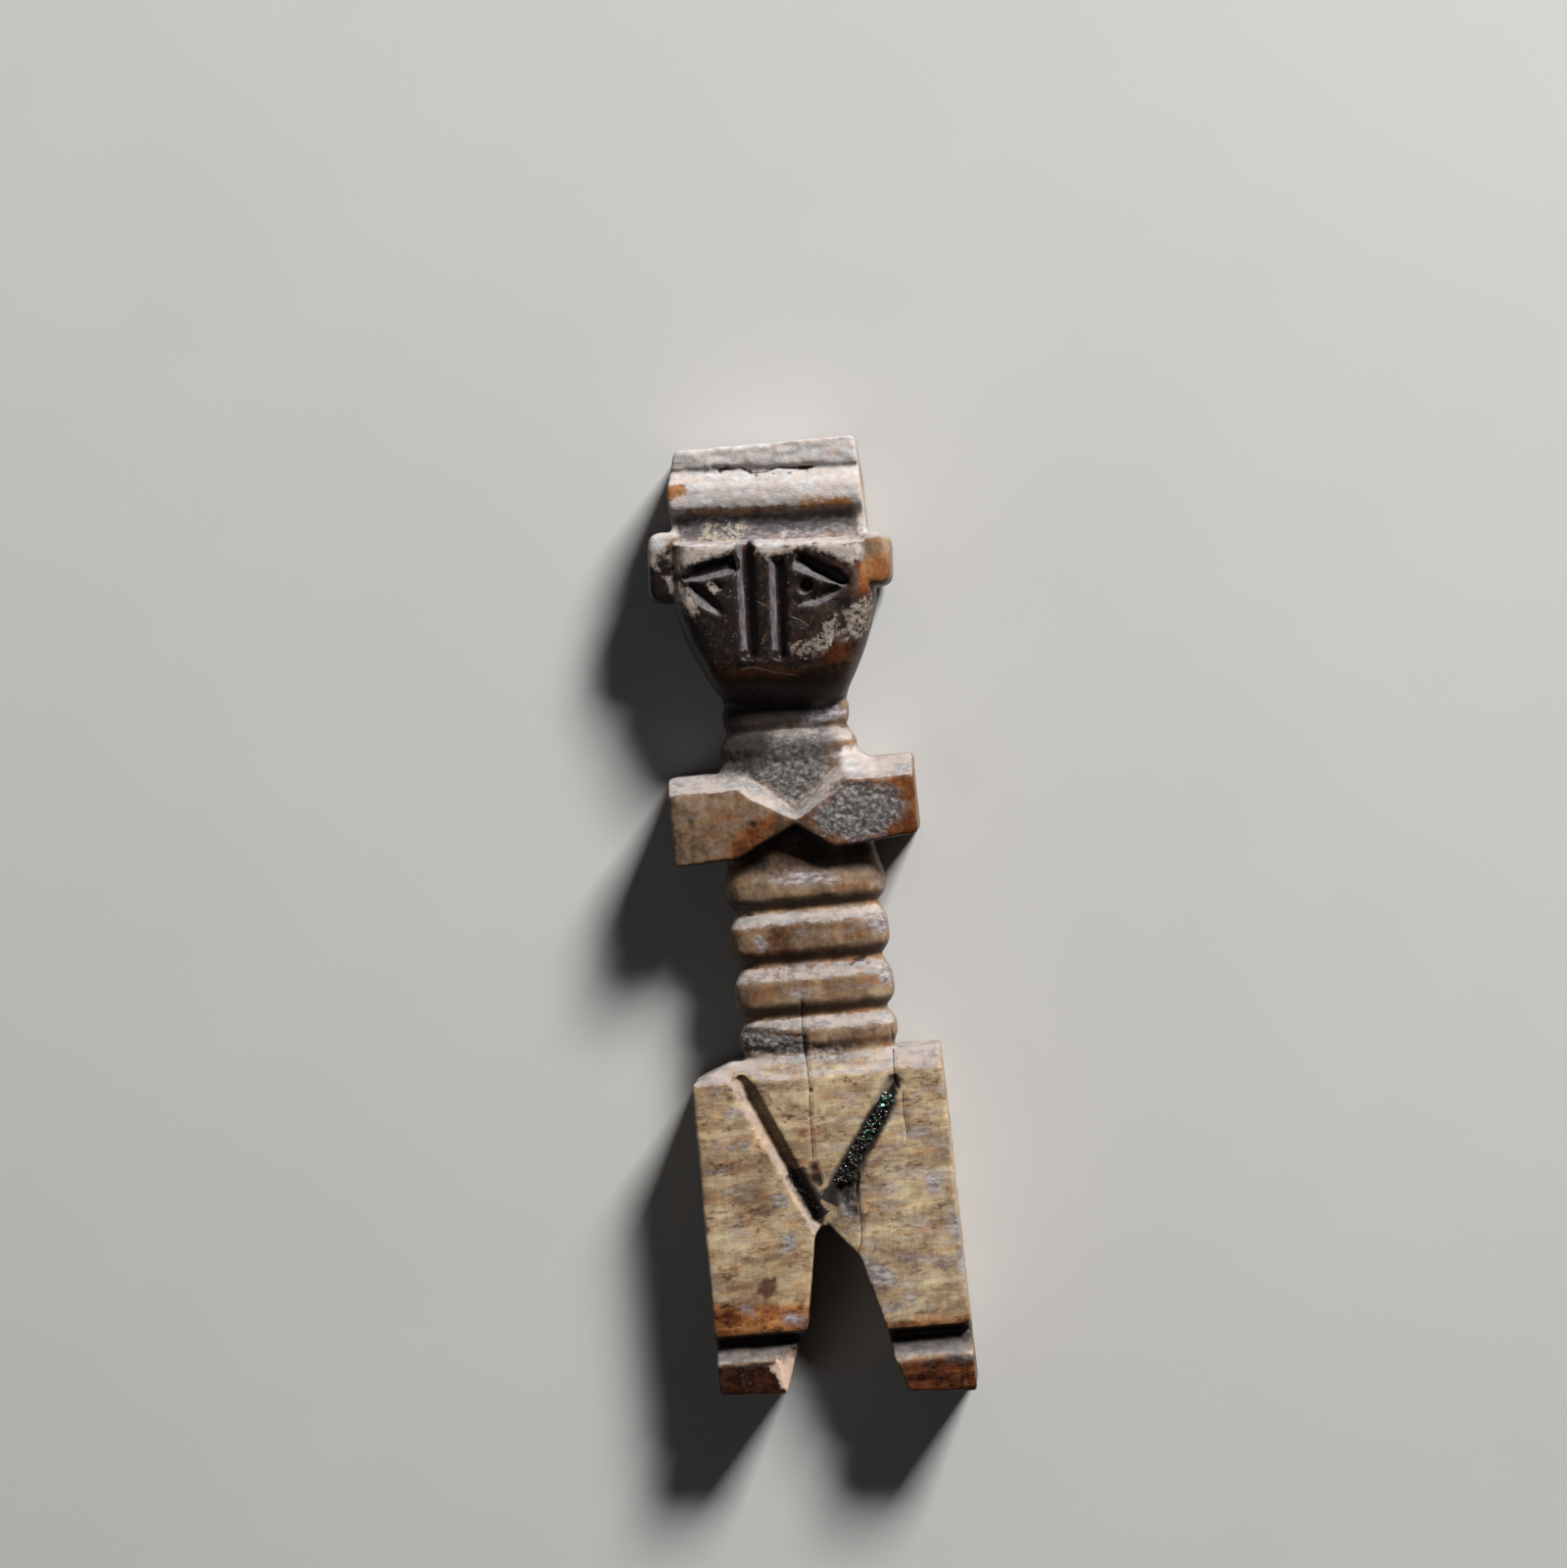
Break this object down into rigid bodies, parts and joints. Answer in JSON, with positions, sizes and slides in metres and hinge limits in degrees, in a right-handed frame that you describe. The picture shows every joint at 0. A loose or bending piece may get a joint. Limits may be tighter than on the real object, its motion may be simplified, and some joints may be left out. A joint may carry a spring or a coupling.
{
  "type": "carved bone idol",
  "caption": "Flat carved bone idol with a banded crown, incised face, ringed neck and waist, pointed breast blocks and squared legs, lying on its back.",
  "frame": {"origin": "under the middle of the figure, on the surface it lies on", "axes": "+Y runs from the soles to the crown, +X is to the right as the face is seen, +Z rises out of the face"},
  "size_m": [0.0268, 0.1, 0.0114],
  "materials": {
    "bone": "worn, stained bone with a dull polish"
  },
  "bodies": {
    "root": {"bone_figure": "bone"}
  },
  "joints": []
}
